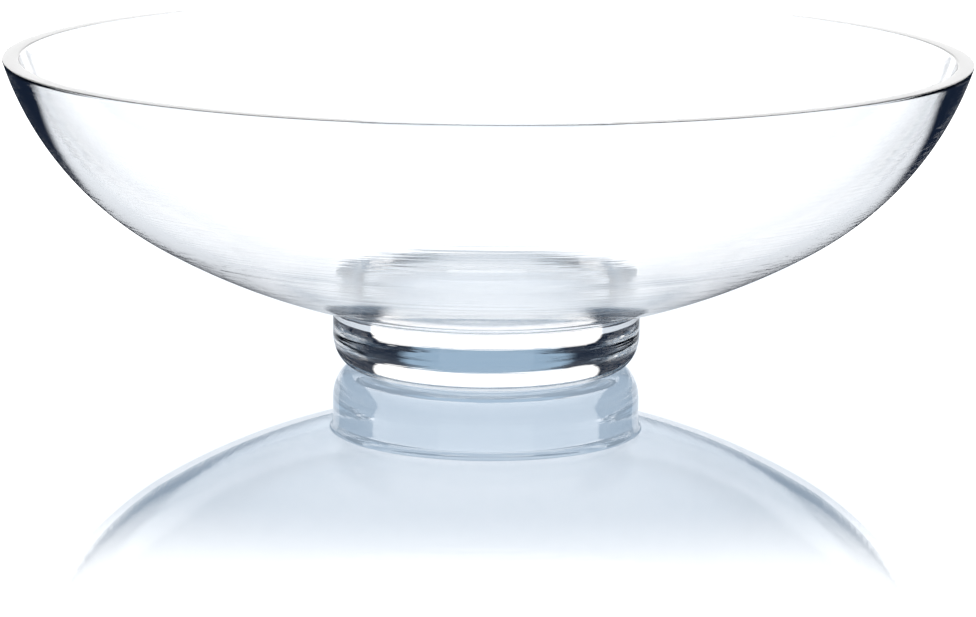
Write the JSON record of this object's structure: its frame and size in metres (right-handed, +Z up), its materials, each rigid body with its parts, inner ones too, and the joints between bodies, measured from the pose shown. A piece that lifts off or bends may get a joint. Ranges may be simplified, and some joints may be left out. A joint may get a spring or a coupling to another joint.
{
  "type": "footed glass bowl",
  "caption": "Wide, shallow bowl of thick clear glass with a flat polished rim and a flat floor, fused to a solid glass disc foot with a rounded bottom edge.",
  "frame": {"origin": "centre of the foot's flat underside, on the table", "axes": "+Z up along the axis of the bowl and the foot; the object is round, so +X and +Y are free"},
  "size_m": [0.3046, 0.3046, 0.0997],
  "materials": {
    "bowl_glass": "clear, fire-polished",
    "foot_glass": "clear, fire-polished, solid"
  },
  "bodies": {
    "root": {"bowl": "bowl_glass", "foot": "foot_glass"}
  },
  "joints": []
}
